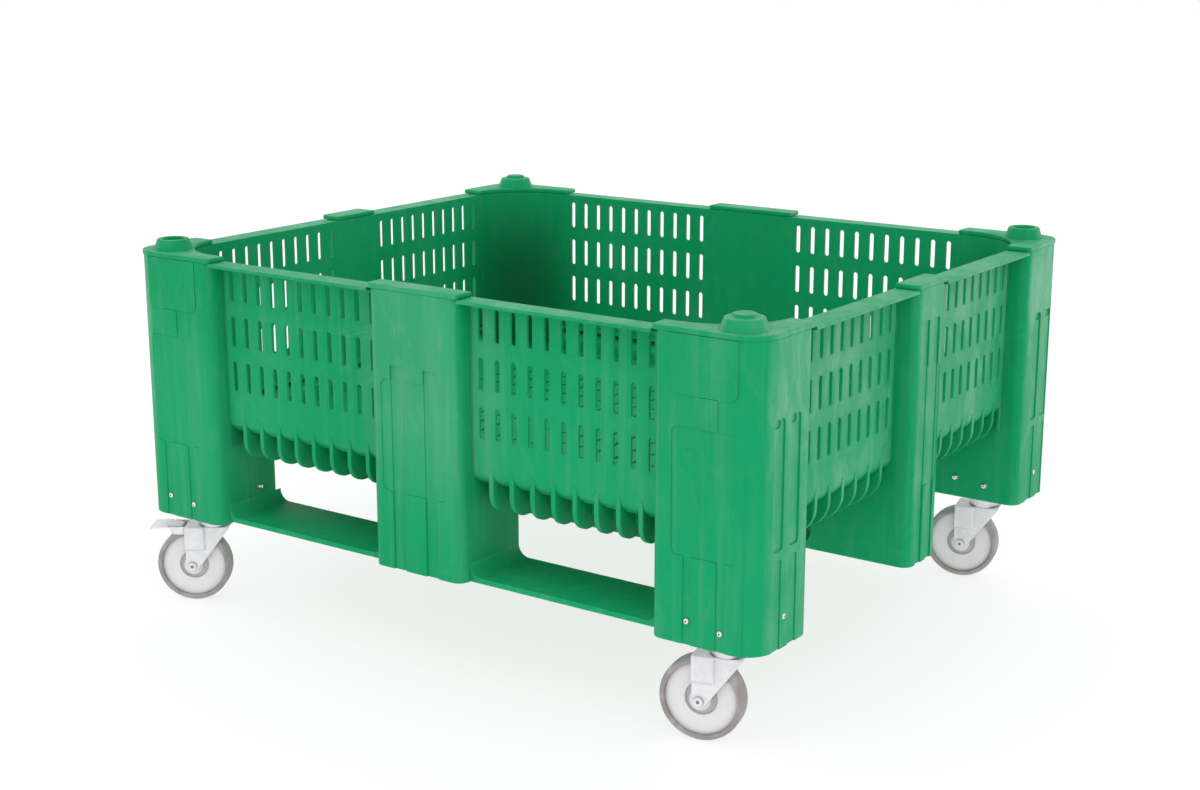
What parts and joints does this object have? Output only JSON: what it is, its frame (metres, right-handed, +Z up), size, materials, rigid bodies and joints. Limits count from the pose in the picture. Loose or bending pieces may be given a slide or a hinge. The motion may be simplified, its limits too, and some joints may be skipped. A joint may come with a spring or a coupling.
{
  "type": "pallet box",
  "caption": "Green ventilated plastic pallet box for harvest work, with slotted walls, stacking knobs, runner planks and swivel castors in place of plain feet.",
  "frame": {"origin": "on the ground below the centre of the box", "axes": "X along the long sides, Y along the short sides, Z up"},
  "size_m": [1.2124, 1.0052, 0.628],
  "materials": {
    "green_plastic": "matte moulded, scuffed",
    "zinc_steel": "zinc plated",
    "white_plastic": "satin moulded",
    "grey_rubber": "matte"
  },
  "bodies": {
    "box": {"tub_floor": "green_plastic", "wall_front": "green_plastic", "wall_back": "green_plastic", "wall_left": "green_plastic", "wall_right": "green_plastic", "corner_posts": "green_plastic", "mid_post_front": "green_plastic", "mid_post_back": "green_plastic", "mid_post_left": "green_plastic", "mid_post_right": "green_plastic", "corner_legs": "green_plastic", "mid_leg_front": "green_plastic", "mid_leg_back": "green_plastic", "mid_leg_left": "green_plastic", "mid_leg_right": "green_plastic", "centre_leg": "green_plastic", "runner_front": "green_plastic", "runner_back": "green_plastic", "runner_centre": "green_plastic", "castor_trays": "zinc_steel", "castor_plates": "zinc_steel"},
    "swivel_front_right": {"fork_front_right": "zinc_steel"},
    "wheel_front_right": {"wheel_core_front_right": "white_plastic", "tyre_front_right": "grey_rubber"},
    "swivel_front_left": {"fork_front_left": "zinc_steel"},
    "wheel_front_left": {"wheel_core_front_left": "white_plastic", "tyre_front_left": "grey_rubber"},
    "pedal_front_left": {"brake_pedal_front_left": "zinc_steel"},
    "swivel_back_right": {"fork_back_right": "zinc_steel"},
    "wheel_back_right": {"wheel_core_back_right": "white_plastic", "tyre_back_right": "grey_rubber"},
    "swivel_back_left": {"fork_back_left": "zinc_steel"},
    "wheel_back_left": {"wheel_core_back_left": "white_plastic", "tyre_back_left": "grey_rubber"},
    "pedal_back_left": {"brake_pedal_back_left": "zinc_steel"}
  },
  "joints": [
    {"name": "swivel_front_right", "type": "hinge", "parent": "box", "child": "swivel_front_right", "pos_m": [0.5115, -0.429, 0.165], "axis": [0, 0, 1], "continuous": true},
    {"name": "roll_front_right", "type": "hinge", "parent": "swivel_front_right", "child": "wheel_front_right", "pos_m": [0.47654, -0.43759, 0.0625], "axis": [-0.2385, 0.9711, 0], "continuous": true},
    {"name": "swivel_front_left", "type": "hinge", "parent": "box", "child": "swivel_front_left", "pos_m": [-0.5115, -0.429, 0.165], "axis": [0, 0, 1], "continuous": true},
    {"name": "roll_front_left", "type": "hinge", "parent": "swivel_front_left", "child": "wheel_front_left", "pos_m": [-0.54169, -0.44861, 0.0625], "axis": [-0.5446, 0.8387, 0], "continuous": true},
    {"name": "brake_front_left", "type": "hinge", "parent": "swivel_front_left", "child": "pedal_front_left", "pos_m": [-0.56182, -0.46168, 0.127], "axis": [-0.5446, 0.8387, 0], "range_deg": [-18, 0]},
    {"name": "swivel_back_right", "type": "hinge", "parent": "box", "child": "swivel_back_right", "pos_m": [0.5115, 0.429, 0.165], "axis": [0, 0, 1], "continuous": true},
    {"name": "roll_back_right", "type": "hinge", "parent": "swivel_back_right", "child": "wheel_back_right", "pos_m": [0.47651, 0.42053, 0.0625], "axis": [-0.2351, 0.972, 0], "continuous": true},
    {"name": "swivel_back_left", "type": "hinge", "parent": "box", "child": "swivel_back_left", "pos_m": [-0.5115, 0.429, 0.165], "axis": [0, 0, 1], "continuous": true},
    {"name": "roll_back_left", "type": "hinge", "parent": "swivel_back_left", "child": "wheel_back_left", "pos_m": [-0.53987, 0.40684, 0.0625], "axis": [-0.6157, 0.788, 0], "continuous": true},
    {"name": "brake_back_left", "type": "hinge", "parent": "swivel_back_left", "child": "pedal_back_left", "pos_m": [-0.55878, 0.39206, 0.127], "axis": [-0.6157, 0.788, 0], "range_deg": [-18, 0]}
  ]
}
